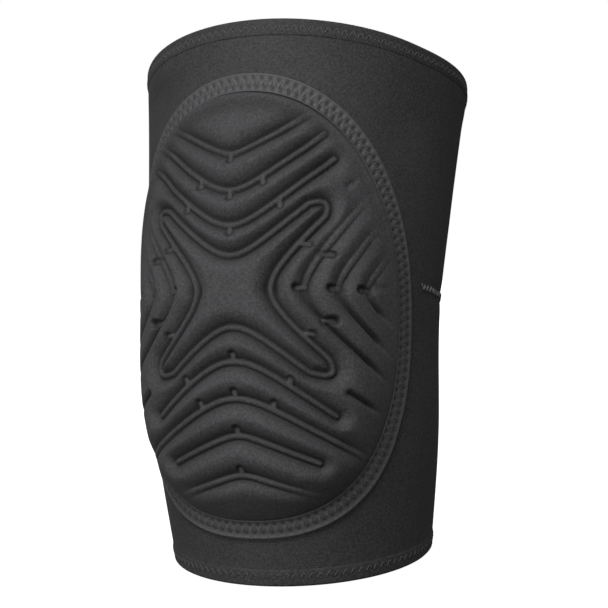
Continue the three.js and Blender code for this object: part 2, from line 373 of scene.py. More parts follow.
# Knitted and foam-backed: to the eye a soft matt black with a fine grain, uneven as worn cloth is
jersey, tree, shader = new_material("nylon_jersey_on_neoprene")
colour, height = dyed_knit(tree, JERSEY_WALE, JERSEY_COURSE, "#1c1c1d", "#3c3c3d", fluff_height=0.6)
bump = add_node(tree, "ShaderNodeBump", {"Strength": 0.5, "Distance": 0.0002}, {"Height": height})
set_node(tree, shader, {"Roughness": 0.75, "IOR": 1.4, "Sheen Weight": 0.02, "Sheen Roughness": 0.5},
         {"Base Color": colour, "Normal": bump.outputs["Normal"]})
print(f"{jersey.name}: loops {JERSEY_WALE} by {JERSEY_COURSE} mm")

# %% [markdown]
# On a leg form the sleeve is smooth, with faint waves at the back, a shallow hollow at each side of the
# thigh, and small puckers where a dart pulls it in behind the knee. Cloth simulation would need the leg
# inside it, so the dents are written as formulas instead. They only go inward, and all but the dart's
# fade out near the pad and the upper hem.

# %% Dents of the sleeve
FRONT_RISE, BACK_RISE = 1.2, 4.6
RISE_FROM, RISE_OVER = math.radians(56), math.radians(50)
HEM_HEIGHT, HEM_HOLD = 7.4, 12
LONG_DEPTH, LONG_ROUND, LONG_SHIFT, LONG_UP, LONG_UP_SHIFT = 0.25, 2, 0.6, 31, 1
SLANT_DEPTH, SLANT_ROUND, SLANT_UP = 0.2, 3, 23
WAVES_FROM, WAVES_OVER = math.radians(74), math.radians(20)
HOLLOWS = (
    {"angle": math.radians(-42), "s": 180, "across": 14, "along": 20, "depth": 2.6},
    {"angle": math.radians(58), "s": 172, "across": 15, "along": 18, "depth": 1.4},
)
DART_AT, DART_ANGLE, DART_START = 111, math.radians(73), math.radians(8)
DART_DEPTH, DART_WIDTH = 0.5, 4.0
PUCKERS, PUCKER_DEPTH, PUCKER_REACH = 24, 0.7, 11
BINDING_HALF_WIDTH, BINDING_HALF_HEIGHT = 73, 91.6
UPPER_OVAL, LOWER_OVAL = 2.12, 2.42
CLEAR_FROM, CLEAR_OVER = 1.02, 0.12


def smooth_step(x):
    """Rises from 0 to 1 with a soft start and end."""
    x = np.clip(x, 0, 1)
    return x * x * (3 - 2 * x)


def upper_edge(angle):
    """Height of the upper edge along the leg: it climbs a little toward the back."""
    return LENGTH + FRONT_RISE + BACK_RISE * smooth_step((np.abs(angle) - RISE_FROM) / RISE_OVER)


def waves(turn, s):
    """Faint waves of the cloth behind the leg."""
    long_wave = np.sin(LONG_ROUND * turn + LONG_SHIFT) * np.sin(s / LONG_UP + LONG_UP_SHIFT)
    slant_wave = np.sin(SLANT_ROUND * turn + s / SLANT_UP)
    depth = LONG_DEPTH * (1 + long_wave) + SLANT_DEPTH * (1 + slant_wave)
    return depth * smooth_step((turn - WAVES_FROM) / WAVES_OVER)


def sleeve_dent(angle, s):
    """How far the sleeve's outer face lies below the plain leg form."""
    turn, w = np.abs(angle), front_height(s)
    power = np.where(w < 0, LOWER_OVAL, UPPER_OVAL)
    across = turn * leg_radius(s) / BINDING_HALF_WIDTH
    oval_share = (across**power + np.abs(w / BINDING_HALF_HEIGHT)**power)**(1 / power)
    dent = waves(turn, s)
    for hollow in HOLLOWS:
        away = (angle - hollow["angle"]) * leg_radius(s) / hollow["across"]
        dent = dent + hollow["depth"] * np.exp(-away**2 - ((s - hollow["s"]) / hollow["along"])**2)
    dent = dent * smooth_step((upper_edge(angle) - HEM_HEIGHT - s) / HEM_HOLD)
    dart = DART_DEPTH * np.exp(-((s - DART_AT) / DART_WIDTH)**2)
    pucker = PUCKER_DEPTH * (1 + np.cos(PUCKERS * turn)) / 2 * np.exp(-np.abs(s - DART_AT) / PUCKER_REACH)
    return (dent * smooth_step((oval_share - CLEAR_FROM) / CLEAR_OVER)
            + (dart + pucker) * np.clip((turn - DART_ANGLE) / DART_START, 0, 1))


print(f"{len(HOLLOWS)} hollows and {PUCKERS} puckers round the leg")

# %% [markdown]
# The sleeve is one tube with a wall of 2.5 mm, cut from a flat sheet and sewn. The outer face, the rims
# and the lining are one closed grid, because a Solidify modifier would thicken along the slanted normals
# of the dents.

# %% Sleeve
WALL = 2.5
TAPE = 1.2
GAP = 0.3
SLEEVE_END = GAP + TAPE
SLEEVE_AROUND, SLEEVE_OUTSIDE, SLEEVE_INSIDE = 240, 130, 40

angles = np.linspace(-np.pi, np.pi, SLEEVE_AROUND, endpoint=False)[:, None]
outside = np.linspace(SLEEVE_END, LENGTH - SLEEVE_END, SLEEVE_OUTSIDE)
inside = np.linspace(LENGTH - SLEEVE_END, SLEEVE_END, SLEEVE_INSIDE)
taller = (upper_edge(angles) - 2 * SLEEVE_END) / (LENGTH - 2 * SLEEVE_END)
outer_s, inner_s = (SLEEVE_END + (heights - SLEEVE_END) * taller for heights in (outside, inside))
outer_face = on_leg(angles, outer_s, -sleeve_dent(angles, outer_s))
inner_face = on_leg(angles, inner_s, -WALL - sleeve_dent(angles, inner_s))
knee_radius = float(leg_radius(LENGTH / 2))
sleeve = skin_grid("knit_sleeve", np.concatenate([outer_face, inner_face], axis=1),
                   along=np.linspace(-np.pi, np.pi, SLEEVE_AROUND + 1) * knee_radius,
                   across=np.concatenate([outside, inside + LENGTH, [outside[0]]]))
fit_piece(sleeve, jersey, "sleeve")
print(f"sleeve: {len(sleeve.data.polygons)} faces")

# %% [markdown]
# Polyester sewing thread is a two-ply twist, smoother and lighter than the knit. Modelled plies would
# cost many faces that nobody sees, so a Wave texture along the thread gives the slanted ripple of the
# twist.

# %% Sewing thread
TWIST_MM = 1.8
# A Wave texture of scale 1 repeats after this length, and one with diagonal bands after twice as much
WAVE_PERIOD = 2 * math.pi / 20


def thread_material(name, dark, light):
    """Twisted polyester: to the eye a fine cord with a soft gloss, lighter on each ply."""
    material, tree, shader = new_material(name)
    place = add_node(tree, "ShaderNodeUVMap", {"uv_map": "cloth_mm"})
    twist = add_node(tree, "ShaderNodeTexWave",
                     {"Scale": 2 * WAVE_PERIOD / TWIST_MM, "bands_direction": "DIAGONAL"},
                     {"Vector": place.outputs["UV"]})
    tint = add_node(tree, "ShaderNodeValToRGB", links={"Fac": twist.outputs["Fac"]})
    tint.color_ramp.elements[0].color = linear(dark)
    tint.color_ramp.elements[1].color = linear(light)
    ply = add_node(tree, "ShaderNodeBump", {"Strength": 0.5, "Distance": 0.0001},
                   {"Height": twist.outputs["Fac"]})
    set_node(tree, shader, {"Roughness": 0.6, "IOR": 1.5},
             {"Base Color": tint.outputs["Color"], "Normal": ply.outputs["Normal"]})
    return material


black_thread = thread_material("black_polyester_thread", "#2c2c2d", "#3c3c3d")
grey_thread = thread_material("grey_polyester_thread", "#28282a", "#37373a")
pale_thread = thread_material("pale_grey_polyester_thread", "#4e4e50", "#666668")
print(f"{black_thread.name}, {grey_thread.name} and {pale_thread.name}: twist every {TWIST_MM} mm")

# %% [markdown]
# A zigzag stitch holds cloth down and stretches with it. The stitches are real threads that dive into the
# cloth at each needle hole and arch over it between, because a painted zigzag wouldn't catch the light as
# these do. A curve with a round bevel would do as well, but a swept ring of points also gives the thread
# its UV map.

# %% Zigzag stitches
STITCH_PITCH, STITCH_POINTS = 3.4, 10
THREAD_SIDES = 6


def skin_thread(name, lay, u, v, lift, radius, close=True):
    """Sweeps a round thread along places that lay, which is on_leg or on_front, puts on the knee pad."""
    path = lay(u, v, lift)
    outward = lay(u, v, lift + 1) - path
    if close:
        ahead = np.roll(path, -1, axis=0) - np.roll(path, 1, axis=0)
    else:
        ahead = np.gradient(path, axis=0)
    sideways = np.cross(ahead, outward)
    sideways /= np.linalg.norm(sideways, axis=1, keepdims=True)
    turns = 2 * np.pi * np.arange(THREAD_SIDES) / THREAD_SIDES
    ring = (np.cos(turns)[None, :, None] * outward[:, None]
            + np.sin(turns)[None, :, None] * sideways[:, None])
    length = run_lengths(path)
    length = np.append(length, 2 * length[-1] - length[-2])
    around = np.arange(THREAD_SIDES + 1) * 2 * np.pi * radius / THREAD_SIDES
    return skin_grid(name, path[:, None] + radius * ring, length, around, close)


def zigzag(stitches, low, high):
    """How far across a zigzag between two lines is, and how high it arches, after a number of stitches."""
    phase = np.abs(stitches * 2 % 2 - 1)
    arch = np.sqrt(np.clip(1 - (2 * phase - 1)**2, 0, 1))
    return low + (high - low) * phase, arch


print(f"zigzag: one stitch every {STITCH_PITCH} mm")

# %% [markdown]
# Each open edge has a hem: a strip folded over the edge. Its section runs along the outer face, round the
# fold and back along the lining. It could be drawn by hand as a bevel profile, but from named sizes it
# always fits round the sleeve's wall.

# %% Section of a hem
HEM_PROUD = 0.38
HEM_FOLD, FOLD_STEPS = 1.3, 13
HEM_TUCK, LINING_GAP = 0.03, 0.02
HEM_WEB = 0.75
# Distance from the free edge, and the share of HEM_PROUD that the strip stands up there
HEM_FACE = ((0.4, 0.25), (0.9, 0.6), (1.4, HEM_WEB), (2.0, HEM_WEB), (2.8, HEM_WEB), (3.6, HEM_WEB),
            (4.4, 0.8), (5.2, 0.95))
LINING_FROM = 3


def hem_section():
    """The folded strip's section as depth from the edge and lift off the sleeve's outer face."""
    top, under = HEM_PROUD, -WALL - HEM_PROUD
    middle, half = (top + under) / 2, (top - under) / 2
    turns = np.linspace(-np.pi / 2, np.pi / 2, FOLD_STEPS)
    fold = [(HEM_FOLD * (1 - math.cos(a)), middle - half * math.sin(a)) for a in turns]
    face = [(HEM_HEIGHT - away, top * share) for away, share in HEM_FACE]
    lining = [(LINING_FROM, under), (HEM_HEIGHT, under), (HEM_HEIGHT, -WALL - LINING_GAP),
              (SLEEVE_END, -WALL - LINING_GAP), (SLEEVE_END, LINING_GAP)]
    return np.array([(HEM_HEIGHT, -HEM_TUCK)] + face + fold + lining)


section = hem_section()
print(f"hem: {HEM_HEIGHT} mm wide, {len(section)} points in its section")

# %% [markdown]
# The section is swept round the leg at both edges, and each hem is caught down with its zigzag. A curve
# with a bevel would do for the level edge, but a grid also follows the climb of the upper one.

# %% Hems
HEM_AROUND = 320
HEM_STITCH_FROM, HEM_STITCH_TO = 3.0, 5.9
STITCH_RADIUS, STITCH_SINK, STITCH_ARCH = 0.36, 0.3, 0.2


def lower_edge(angle):
    """Height of the lower edge along the leg: it is level, and the part stands on it."""
    return np.zeros_like(angle)


HEMS = (
    {"name": "upper_hem", "node": "top_hem", "edge": upper_edge, "toward": -1},
    {"name": "lower_hem", "node": "bottom_hem", "edge": lower_edge, "toward": 1},
)
trims = []
for hem in HEMS:
    angles = np.linspace(-np.pi, np.pi, HEM_AROUND, endpoint=False)[:, None]
    s = hem["edge"](angles) + hem["toward"] * section[None, :, 0]
    ring = on_leg(angles, s, section[None, :, 1] - sleeve_dent(angles, s))
    walk = run_lengths(np.concatenate([section, section[:1]]))
    if hem["toward"] > 0:
        ring, walk = ring[:, ::-1], walk[::-1]
    edge_radius = float(leg_radius(hem["edge"](0.0)))
    strip = skin_grid(hem["name"], ring, np.linspace(-np.pi, np.pi, HEM_AROUND + 1) * edge_radius, walk)
    fit_piece(strip, jersey, hem["node"])
    count = round(girth(hem["edge"](0.0)) / STITCH_PITCH)
    stitches = np.arange(count * STITCH_POINTS) / STITCH_POINTS
    across, arch = zigzag(stitches, HEM_STITCH_FROM, HEM_STITCH_TO)
    angles = stitches / count * 2 * np.pi - np.pi
    s = hem["edge"](angles) + hem["toward"] * across
    lift = HEM_PROUD * HEM_WEB - STITCH_SINK + STITCH_ARCH * arch - sleeve_dent(angles, s)
    thread = skin_thread(hem["name"] + "_zigzag", on_leg, angles, s, lift, STITCH_RADIUS)
    fit_piece(thread, black_thread)
    trims += [strip, thread]
    print(f"{hem['name']}: {len(strip.data.polygons)} faces, {count} stitches")

# %% [markdown]
# Rows of chevrons cross the pad above and below its middle, and let it bend there with the knee. They
# could be drawn by hand, but a few numbers give each row: where its apex is, how steep and how round it
# is, and how far it reaches. Strength runs along the line from its start to its end, and 0 is the plain
# face.

# %% Chevrons across the knee
LINE_STEPS = 18
CHEVRONS = (
    {"apex": 53.2, "slope": 0.61, "round": 4.5, "reach": 33, "strength": (1, 1, 1, 0.8), "tooth": None},
    {"apex": 38.5, "slope": 0.88, "round": 10, "reach": 35, "strength": (1, 1), "tooth": 12.4},
    {"apex": 24.8, "slope": 0.92, "round": 10, "reach": 39, "strength": (1, 1), "tooth": 18.5},
    {"apex": -26.6, "slope": 0.9, "round": 12, "reach": 34, "strength": (1, 1), "tooth": 19.2},
    {"apex": -40.4, "slope": 0.77, "round": 12, "reach": 49, "strength": (1, 1, 0.8), "tooth": 13.2},
    {"apex": -54.2, "slope": 0.53, "round": 5, "reach": 26.5, "strength": (1, 1), "tooth": None},
    {"apex": -69.5, "slope": 0.45, "round": 4, "reach": 30, "strength": (1, 0.9, 0.3), "tooth": None},
)
ALL_RIB, NO_RIB = (1, 1), (0, 0)


def arm_rise(along, slope, roundness):
    """An arm leaves the apex in a round and then runs straight."""
    return slope * (np.hypot(along, roundness) - roundness)


def chevron_height(row, u):
    """Height w of a chevron at a distance u from the middle."""
    return row["apex"] + np.sign(row["apex"]) * arm_rise(u, row["slope"], row["round"])


# Each one is a line, its strength from start to end and the share of a rib that it has there
relief_lines = []
for row in CHEVRONS:
    u = np.linspace(0, row["reach"], LINE_STEPS)
    relief_lines.append((np.stack([u, chevron_height(row, u)], axis=1), row["strength"], ALL_RIB))
print(f"{len(CHEVRONS)} chevrons")

# %% [markdown]
# At each side of the knee the chevrons lie on their sides, with an upper and a lower arm that differ a
# little. Their lower arms are sharp creases and only the upper arms have a rib. Two short dashes fill the
# corners. Only one half is written, because the mould is mirrored from left to right.

# %% Chevrons and dashes at the side
SIDE_CHEVRONS = (
    {"apex": 26.3, "round": 9, "up_reach": 39, "up_slope": 0.83, "down_reach": 41, "down_slope": 1.02,
     "strength": (0, 1, 1, 1, 0.7, 0.5, 0.1)},
    {"apex": 38.2, "round": 7, "up_reach": 30, "up_slope": 0.82, "down_reach": 28, "down_slope": 1.0,
     "strength": (0, 1, 1, 0.9, 0.5, 0.35, 0)},
    {"apex": 49.2, "round": 4, "up_reach": 18, "up_slope": 0.84, "down_reach": 14, "down_slope": 1.03,
     "strength": (0, 1, 0.8, 0.4, 0.25, 0)},
)
SIDE_RIB = (0, 0, 0.2, 1, 1, 0.8)
DASHES = (
    {"from": (43, 41.8), "to": (48, 46.5), "strength": (0.35, 0.3, 0)},
    {"from": (38.8, -39.4), "to": (53.4, -51), "strength": (0.9, 0.8, 0)},
)


def side_distance(row, w):
    """Distance u from the middle of a side chevron at a height w."""
    return row["apex"] + arm_rise(w, np.where(w > 0, row["up_slope"], row["down_slope"]), row["round"])


for row in SIDE_CHEVRONS:
    w = np.linspace(-row["down_reach"], row["up_reach"], 2 * LINE_STEPS)
    relief_lines.append((np.stack([side_distance(row, w), w], axis=1), row["strength"], SIDE_RIB))
for dash in DASHES:
    relief_lines.append((np.array([dash["from"], dash["to"]]), dash["strength"], NO_RIB))
print(f"{len(SIDE_CHEVRONS)} side chevrons and {len(DASHES)} dashes on each half")

# %% [markdown]
# In the middle lies the plateau over the kneecap, a smooth field with four arms. Its edge starts at the
# notch above or below, runs out along an arm, turns round the tip and comes back to the waist at the
# side. A Bezier spline could trace it, but the same arm formula as for the chevrons keeps it nearly
# parallel to them.

# %% Plateau over the kneecap
PLATEAU = (
    {"side": 1, "notch": 13.3, "notch_slope": 0.95, "waist_slope": 0.96, "arm_end": 29,
     "tip": (38.2, 37.4)},
    {"side": -1, "notch": 13.8, "notch_slope": 0.93, "waist_slope": 1.02, "arm_end": 26,
     "tip": (37.5, 35.4)},
)
PLATEAU_WAIST, PLATEAU_ROUND = 14.3, 9
TIP_STEPS = 9


def waist_distance(row, w):
    """Distance u from the middle of the plateau's waist at a height w."""
    return PLATEAU_WAIST + arm_rise(w, row["waist_slope"], PLATEAU_ROUND)


for row in PLATEAU:
    along = np.linspace(0, row["arm_end"], LINE_STEPS)
    notch = np.stack([along, row["notch"] + arm_rise(along, row["notch_slope"], PLATEAU_ROUND)], axis=1)
    waist = np.stack([waist_distance(row, along), along], axis=1)
    f = np.linspace(0, 1, TIP_STEPS)[1:-1, None]
    tip = (1 - f)**2 * notch[-1] + 2 * f * (1 - f) * np.array(row["tip"]) + f**2 * waist[-1]
    line = np.concatenate([notch, tip, waist[::-1]]) * np.array([1, row["side"]])
    relief_lines.append((line, (1, 1), ALL_RIB))
print(f"plateau: {2 * PLATEAU_WAIST:.0f} mm wide at its waist")

# %% [markdown]
# Short teeth stand off the ribs. They tie the foam on both sides of a groove together, so that it doesn't
# gape when the knee bends. Each chevron has one at its apex and some have another further out. A tooth
# could be a small mesh of its own, but as a line of two points it melts into the relief. The plateau and
# the first side chevron have them too, outward, and one with no rib of its own is only a faint dent.

# %% Teeth on the ribs
TOOTH_LENGTH, OUTWARD_TOOTH_LENGTH = 2.8, 3.5
SIDE_TOOTH_AT = 1
PLATEAU_TEETH = (17.8, -16.5)
FIRST_SIDE_TEETH = (14.3, -11.5)
LONE_TOOTH = np.array([(57.5, 3), (54.1, 3)])

teeth = []
for row in CHEVRONS:
    for u in (0, row["tooth"]):
        if u is not None:
            w = chevron_height(row, u)
            teeth.append(((u, w), (u, w - np.sign(row["apex"]) * TOOTH_LENGTH)))
for row in SIDE_CHEVRONS:
    teeth.append(((row["apex"], SIDE_TOOTH_AT), (row["apex"] - TOOTH_LENGTH, SIDE_TOOTH_AT)))
outward = [(waist_distance(row, w), w) for row, w in zip(PLATEAU, PLATEAU_TEETH)]
outward += [(float(side_distance(SIDE_CHEVRONS[0], w)), w) for w in FIRST_SIDE_TEETH]
teeth += [((u, w), (u + OUTWARD_TOOTH_LENGTH, w)) for u, w in outward]
teeth = [np.array(tooth, float) for tooth in teeth]
print(f"{len(teeth)} teeth on each half")

# %% [markdown]
# Foam moulded under cloth doesn't make sharp channels. The face between two lines swells like a pillow
# and dips to a crease, and a narrow rib stands in the dip. So the depth at a point follows from its
# distance to the lines. The Displace modifier could do this from a texture, but the distances are exact
# and need no image.

# %% Depth of the grooves
RELIEF_AT, RELIEF_ASIDE, RELIEF_LEAN = 5.3, -0.4, -0.042
GROOVE_DEPTH, RIB_HEIGHT = 4.0, 1.4
RIB_FLAT, RIB_HALF = 0.65, 1.3
FLANK, FLANK_POWER, CREASE_SHARE = 6.5, 2.2, 0.38
MEETING = 2.5


def line_distance(u, w, line):
    """Distance from each point to a line of straight steps, and how much of the line is run there."""
    best = np.full(u.shape, np.inf)
    share = np.zeros(u.shape)
    for k in range(len(line) - 1):
        a, d = line[k], line[k + 1] - line[k]
        f = np.clip(((u - a[0]) * d[0] + (w - a[1]) * d[1]) / (d @ d), 0, 1)
        away = np.hypot(u - a[0] - f * d[0], w - a[1] - f * d[1])
        share = np.where(away < best, (k + f) / (len(line) - 1), share)
        best = np.minimum(best, away)
    return best, share


def grooves_and_ribs(u, w):
    """How deep in a groove and how high on a rib each place is, from 0 to 1. Grooves meet smoothly."""
    groove, rib = np.zeros(u.shape), np.zeros(u.shape)
    for line, *profiles in relief_lines:
        away, share = line_distance(u, w, line)
        strength, ribbed = (np.interp(share, np.linspace(0, 1, len(v)), v) for v in profiles)
        wide = FLANK * (CREASE_SHARE + (1 - CREASE_SHARE) * ribbed)
        flank = strength * (1 - np.clip((away - RIB_HALF * ribbed) / wide, 0, 1))**FLANK_POWER
        groove = (groove**MEETING + flank**MEETING)**(1 / MEETING)
        crest = 1 - smooth_step((away - RIB_FLAT) / (RIB_HALF - RIB_FLAT))
        rib = np.maximum(rib, strength * ribbed * crest)
    return np.minimum(groove, 1), rib


print(f"grooves {GROOVE_DEPTH} mm deep with ribs {2 * RIB_HALF} mm wide")

# %% [markdown]
# A tooth is as high as the rib it stands on, with a narrow moat round it. The creases and moats also get
# a painted shade, a darker colour where shade falls, which is kept for the cover's material, as relief
# alone leaves the bottom of a crease too light.

# %% Teeth and painted crease shade
TOOTH_FLAT, TOOTH_HALF = 0.5, 1.25
TOOTH_MOAT, MOAT_DEPTH = 1.5, 2.5
CREASE_SHADE, CREASE_POWER = 1.1, 3
LONE_DEPTH, LONE_SHADE = 0.7, 0.3


def relief(u, w):
    """Depth of the moulded lines at flat places on the pad, and the painted shade of their creases."""
    w = w - RELIEF_AT
    u = np.abs(u - RELIEF_ASIDE - RELIEF_LEAN * w)
    groove, rib = grooves_and_ribs(u, w)
    depth = GROOVE_DEPTH * groove - RIB_HEIGHT * rib
    # Painted shade: the colour darkens deep in each groove, but not on its rib
    painted_shade = np.clip(CREASE_SHADE * groove**CREASE_POWER - rib, 0, 1)
    rib_level = GROOVE_DEPTH - RIB_HEIGHT
    for tooth in teeth:
        away, _ = line_distance(u, w, tooth)
        moat = (1 - np.clip((away - TOOTH_HALF) / TOOTH_MOAT, 0, 1))**2 * (1 - rib)
        on_tooth = 1 - smooth_step((away - TOOTH_FLAT) / (TOOTH_HALF - TOOTH_FLAT))
        around = np.maximum(depth, MOAT_DEPTH * moat)
        depth = around + on_tooth * (rib_level - around)
        # Painted shade fills each moat, but not the tooth itself
        painted_shade = np.maximum(painted_shade, moat) * (1 - on_tooth)
    # The lone dent gets a faint painted shade
    away, _ = line_distance(u, w, LONE_TOOTH)
    dent = np.exp(-(away / TOOTH_MOAT)**2)
    return depth + LONE_DEPTH * dent, np.maximum(painted_shade, LONE_SHADE * dent)


print(f"moats {TOOTH_MOAT} mm wide round the teeth")

# %% [markdown]
# The pad itself is thin at its rim, rises over a shoulder and is slightly crowned. It is fullest below
# the knee, where its lower end falls off in a steep face, and thin at the top. A small roll runs along
# the rim, where the binding squeezes the foam. Sculpting could shape this, but a formula can be matched
# to the outline number by number.

# %% Height of the pad's face
BINDING_WIDTH = 8
RIM, CROWN, SHOULDER = 1.9, 2.4, 4.4
UPPER_SLACK, LOWER_FULLNESS, FULLNESS_POWER = 0.35, 1.25, 1.4
SIDE_SHARE, LOWER_SHARE = 0.32, 0.17
SHOULDER_POWER, LOWER_POWER = 1.4, 1.2
FLANK_AT, FLANK_REACH, FLANK_ASIDE, FLANK_STEEPER = -68, 14, 24, 0.05
ROLL_HEIGHT, ROLL_AT, ROLL_LOSS, ROLL_ENDS = 1.0, 1.5, 0.8, 0.5


def pad_lift(cut, u, w, share):
    """Height of the pad's face over the sleeve; share is 0 in the middle and 1 at the rim."""
    below, above = (np.clip(side * w / BINDING_HALF_HEIGHT, 0, 1) for side in (-1, 1))
    lower = smooth_step(below)
    aside = np.exp(-((w - FLANK_AT) / FLANK_REACH)**2) * (1 - np.exp(-(u / FLANK_ASIDE)**2))
    slope_share = SIDE_SHARE + (LOWER_SHARE - SIDE_SHARE) * lower - FLANK_STEEPER * aside
    to_edge = np.clip((1 - share) / slope_share, 0, 1)
    power = SHOULDER_POWER + (LOWER_POWER - SHOULDER_POWER) * lower
    body = SHOULDER * (1 - (1 - to_edge)**power) + CROWN * (1 - share**2)
    body = body * (1 + LOWER_FULLNESS * below**FULLNESS_POWER - UPPER_SLACK * above)
    from_rim = (1 - share) * (BINDING_HALF_WIDTH - BINDING_WIDTH) / ROLL_AT
    roll = ROLL_HEIGHT * (1 - ROLL_LOSS * smooth_step(below / ROLL_ENDS) + above)
    return GAP + RIM + body + roll * from_rim * np.exp(1 - from_rim) - cut


print(f"pad: {GAP + RIM + SHOULDER + CROWN:.0f} mm over the sleeve in its middle")

# %% [markdown]
# The pad's cover is nylon tricot, moulded hot onto the foam. The heat flattens the loops, so it is a
# little lighter and smoother than the sleeve. Its colour is painted nearly black in the creases, a painted
# shade. An ambient occlusion node could darken the creases too, but the painted shade is worked out with
# the relief, so it is read from the mesh.

# %% Moulded cover
# Tricot is finer than the sleeve's jersey, and is drawn coarser than its real 0.5 mm for the same reason
COVER_WALE, COVER_COURSE = 1.0, 0.8


def painted_shade_colour(tree, colour, dark):
    """Socket with a colour that is darkened by the painted shade stored on the mesh."""
    amount = add_node(tree, "ShaderNodeAttribute", {"attribute_name": "painted_shade"})
    mix = add_node(tree, "ShaderNodeMix", {"data_type": "RGBA", "blend_type": "MIX", 7: linear(dark)},
                   {0: amount.outputs["Fac"], 6: colour})
    return mix.outputs[2]


# Knitted, then moulded hot: to the eye an even charcoal that shades softly over every swelling
cover, tree, shader = new_material("hot_moulded_nylon_tricot")
colour, height = dyed_knit(tree, COVER_WALE, COVER_COURSE, "#262627", "#444446", fluff_height=0.8)
bump = add_node(tree, "ShaderNodeBump", {"Strength": 0.3, "Distance": 0.0002}, {"Height": height})
set_node(tree, shader, {"Roughness": 0.75, "IOR": 1.4, "Sheen Weight": 0.03, "Sheen Roughness": 0.5},
         # 0c0c0d is the painted shade of the creases, moats and the dip behind the roll
         {"Base Color": painted_shade_colour(tree, colour, "#0c0c0d"), "Normal": bump.outputs["Normal"]})
print(f"{cover.name}: loops {COVER_WALE} by {COVER_COURSE} mm")

# %% [markdown]
# The face of the pad is a square grid pressed into an oval, which keeps its cells even out to the rim,
# where a fan of triangles would crowd in the middle. The oval is a superellipse, a little squarer below
# than above.

# %% Face of the pad
PAD_COLUMNS, PAD_ROWS = 280, 310
BINDING_GAP = 0.2
GROOVE_FADE, CREASE_FADE = 0.2, 0.08
DIP_AT, DIP_REACH, DIP_SHADE = 0.07, 0.035, 0.4


def oval(turn, inset):
    """Flat places on an oval in a direction, inset from the outer edge of the binding."""
    c, s = np.cos(turn), np.sin(turn)
    power = np.where(s < 0, LOWER_OVAL, UPPER_OVAL)
    reach = (np.abs(c)**power + np.abs(s)**power)**(-1 / power)
    return (BINDING_HALF_WIDTH - inset) * reach * c, (BINDING_HALF_HEIGHT - inset) * reach * s


a, b = np.meshgrid(np.linspace(-1, 1, PAD_COLUMNS + 1), np.linspace(-1, 1, PAD_ROWS + 1))
x, y = a * np.sqrt(1 - b * b / 2), b * np.sqrt(1 - a * a / 2)
share = np.clip(np.hypot(x, y), 0, 1)
rim_u, rim_w = oval(np.arctan2(y, x), BINDING_WIDTH + BINDING_GAP)
u, w = rim_u * share, rim_w * share
cut, painted_shade = relief(u, w)
cut *= smooth_step((1 - share) / GROOVE_FADE)
painted_shade *= smooth_step((1 - share) / CREASE_FADE)
# Painted shade in the shallow dip behind the roll at the top rim
behind_roll = np.exp(-((1 - share - DIP_AT) / DIP_REACH)**2) * np.clip(w / BINDING_HALF_HEIGHT, 0, 1)
painted_shade = np.maximum(painted_shade, DIP_SHADE * behind_roll)
pad_face = on_front(u, w, pad_lift(cut, u, w, share)).reshape(-1, 3)
flat_places = np.stack([u, w], axis=-1).reshape(-1, 2)
print(f"pad's face: {len(pad_face)} points, deepest groove {cut.max():.1f} mm")

# %% [markdown]
# The back of the pad is a plain dish that lies on the sleeve and closes the mesh, so that the pad is a
# solid as the real foam is. Filling the hole with one large face would work as well, but such a face
# can't follow the bend of the knee.

# %% Moulded pad
BACK_SHARES = (1.0, 0.9, 0.7, 0.4)
BACK_LIFT = GAP / 2

number = np.arange(len(pad_face)).reshape(PAD_ROWS + 1, PAD_COLUMNS + 1)
face_quads = np.stack([number[:-1, :-1], number[:-1, 1:], number[1:, 1:], number[1:, :-1]], axis=-1)
ring = np.concatenate([number[0, :-1], number[:-1, -1], number[-1, :0:-1], number[:0:-1, 0]])
border_places = flat_places[ring]
points, places, quads = [pad_face], [flat_places], [face_quads.reshape(-1, 4)]
for back_share in BACK_SHARES:
    ring_places = border_places * back_share
    next_ring = sum(len(p) for p in points) + np.arange(len(ring))
    points.append(on_front(ring_places[:, 0], ring_places[:, 1], BACK_LIFT))
    places.append(ring_places)
    quads.append(np.stack([np.roll(ring, -1), ring, next_ring, np.roll(next_ring, -1)], axis=1))
    ring = next_ring
middle = sum(len(p) for p in points)
points.append(on_front(np.zeros(1), np.zeros(1), BACK_LIFT))
places.append(np.zeros((1, 2)))
closing = np.stack([np.roll(ring, -1), ring, np.full(len(ring), middle)], axis=1)
points, places, quads = np.concatenate(points), np.concatenate(places), np.concatenate(quads)
cloth = np.concatenate([places[quads].reshape(-1, 2), places[closing].reshape(-1, 2)])
pad = make_piece("moulded_pad", points, [quads, closing], cloth)
mark_painted_shade(pad, np.append(painted_shade.ravel(), np.zeros(len(points) - painted_shade.size)))
fit_piece(pad, cover, "knee_pad")
print(f"pad: {len(pad.data.polygons)} faces")

# %% [markdown]
# The tape that binds the pad is woven elastic: fine ribs of covered rubber run along it, held by cross
# threads. Both show as a small check, so two Wave textures at right angles make the bump and the tint. A
# Checker texture would give hard squares that no thread has.

# %% Woven elastic
RIB_PITCH, CROSS_PITCH = 0.8, 0.9
# Woven from covered rubber and polyester: to the eye the lightest cloth; painted shade at each needle hole
elastic, tree, shader = new_material("woven_polyester_elastic")
place = add_node(tree, "ShaderNodeUVMap", {"uv_map": "cloth_mm"})
ribs, cross = (add_node(tree, "ShaderNodeTexWave", {"Scale": WAVE_PERIOD / pitch, "bands_direction": way},
                        {"Vector": place.outputs["UV"]})
               for pitch, way in ((RIB_PITCH, "Y"), (CROSS_PITCH, "X")))
weave = add_node(tree, "ShaderNodeMath", {"operation": "MULTIPLY"},
                 {0: ribs.outputs["Fac"], 1: cross.outputs["Fac"]})
tint = add_node(tree, "ShaderNodeValToRGB", links={"Fac": weave.outputs[0]})
tint.color_ramp.elements[0].color = linear("#38383a")
tint.color_ramp.elements[1].color = linear("#454547")
